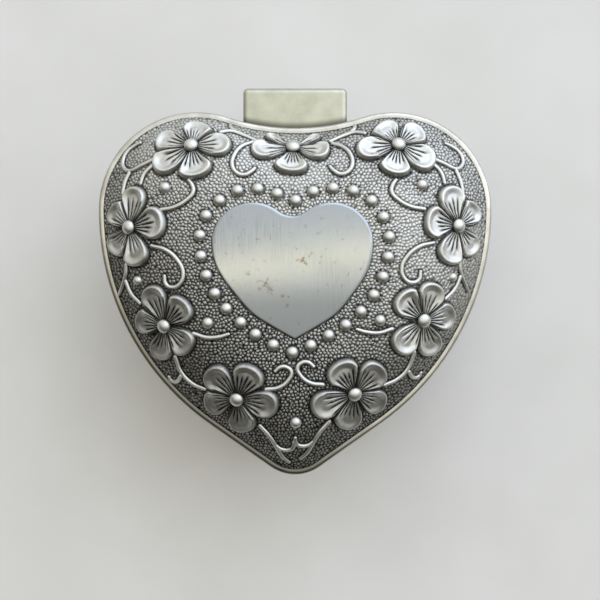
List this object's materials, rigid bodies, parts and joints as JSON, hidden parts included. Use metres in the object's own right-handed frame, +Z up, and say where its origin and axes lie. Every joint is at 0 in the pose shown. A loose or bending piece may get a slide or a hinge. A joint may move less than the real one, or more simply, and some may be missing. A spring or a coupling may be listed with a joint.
{
  "type": "wind up music box",
  "caption": "Heart-shaped cast-metal trinket music box: domed floral lid on a rear hinge, clear inner cover over a wound spring, pinned drum, comb and air-brake governor, key underneath.",
  "frame": {"origin": "under the middle of the bounding box of heart and hinge tab, at the underside of the foot rim", "axes": "+Z up, +Y from the heart's point towards the hinge at the back, +X across the lobes to the right as seen from above with the hinge away"},
  "size_m": [0.0882, 0.087, 0.0527],
  "materials": {
    "pewter": "antiqued cast zinc alloy, bright on the high spots and dark in the recesses",
    "pewter_relief": "antiqued cast zinc alloy, polished high spots",
    "pewter_plain": "plain cast zinc alloy, brushed",
    "flock": "dark red flocked card",
    "plate": "black enamel",
    "acrylic": "clear acrylic sheet",
    "bed": "bright cast zinc bed",
    "steel": "bright steel",
    "spring_steel": "blued spring steel",
    "brass": "satin brass",
    "nylon": "white moulded plastic"
  },
  "bodies": {
    "base": {"base_shell": "pewter", "bottom_plate": "plate", "plate_screws": "steel", "movement_screws": "steel", "floor_lining": "flock", "clear_cover": "acrylic", "hinge_lugs": "pewter_plain", "hinge_pin": "steel", "bedplate": "bed", "spring_housing": "steel", "mainspring": "spring_steel", "drum_bracket": "steel", "bracket_screw": "steel", "comb": "steel", "comb_screws": "steel", "governor_frame": "brass", "governor_bridge": "brass", "governor_screws": "steel", "plunger_guide": "brass", "plunger_bush": "nylon", "plunger_spring": "spring_steel"},
    "lid": {"lid_shell": "pewter", "lid_lining": "flock", "lid_plaque": "pewter_plain", "lid_beads": "pewter_relief", "lid_flowers": "pewter_relief", "hinge_leaf": "pewter_plain"},
    "key": {"winding_key": "steel", "winding_arbor": "steel", "arbor_clip": "steel"},
    "drive": {"drive_wheel": "brass", "clutch_washer": "spring_steel"},
    "drum": {"drum": "brass", "drum_ends": "brass", "drum_axle": "steel", "drum_gear": "brass"},
    "first_wheel": {"first_wheel": "brass"},
    "worm_wheel": {"worm_wheel": "nylon"},
    "fly": {"worm": "steel", "governor_fly": "nylon"},
    "plunger": {"stop_plunger": "steel"}
  },
  "joints": [
    {"name": "lid_hinge", "type": "hinge", "parent": "base", "child": "lid", "pos_m": [0, 0.03915, 0.0368], "axis": [-1, 0, 0], "range_deg": [0, 100]},
    {"name": "plunger_slide", "type": "slide", "parent": "base", "child": "plunger", "axis": [0, 0, 1], "range_m": [0, 0.002], "deforming": ["plunger_spring"]},
    {"name": "key_turn", "type": "hinge", "parent": "base", "child": "key", "pos_m": [0.0135, 0.00385, 0.005], "axis": [0, 0, 1], "range_deg": [0, 2250]},
    {"name": "drum_turn", "type": "hinge", "parent": "base", "child": "drum", "pos_m": [0, 0.00385, 0.0207], "axis": [1, 0, 0], "continuous": true},
    {"name": "drive_turn", "type": "hinge", "parent": "base", "child": "drive", "pos_m": [0.0135, 0.00385, 0.027], "axis": [0, 0, 1], "continuous": true},
    {"name": "first_wheel_turn", "type": "hinge", "parent": "base", "child": "first_wheel", "pos_m": [-0.02, 0.01434, 0.02351], "axis": [1, 0, 0], "continuous": true},
    {"name": "worm_wheel_turn", "type": "hinge", "parent": "base", "child": "worm_wheel", "pos_m": [-0.02, 0.01984, 0.01966], "axis": [1, 0, 0], "continuous": true},
    {"name": "fly_turn", "type": "hinge", "parent": "base", "child": "fly", "pos_m": [-0.0215, 0.026, 0.01966], "axis": [0, 0, 1], "continuous": true}
  ],
  "couplings": [
    {"joint": "plunger_slide", "follows": "lid_hinge", "m_per_rad": 0.001145},
    {"joint": "drive_turn", "follows": "drum_turn", "ratio": 0.4},
    {"joint": "first_wheel_turn", "follows": "drum_turn", "ratio": -3.8},
    {"joint": "worm_wheel_turn", "follows": "drum_turn", "ratio": 14.25},
    {"joint": "fly_turn", "follows": "drum_turn", "ratio": -285}
  ]
}
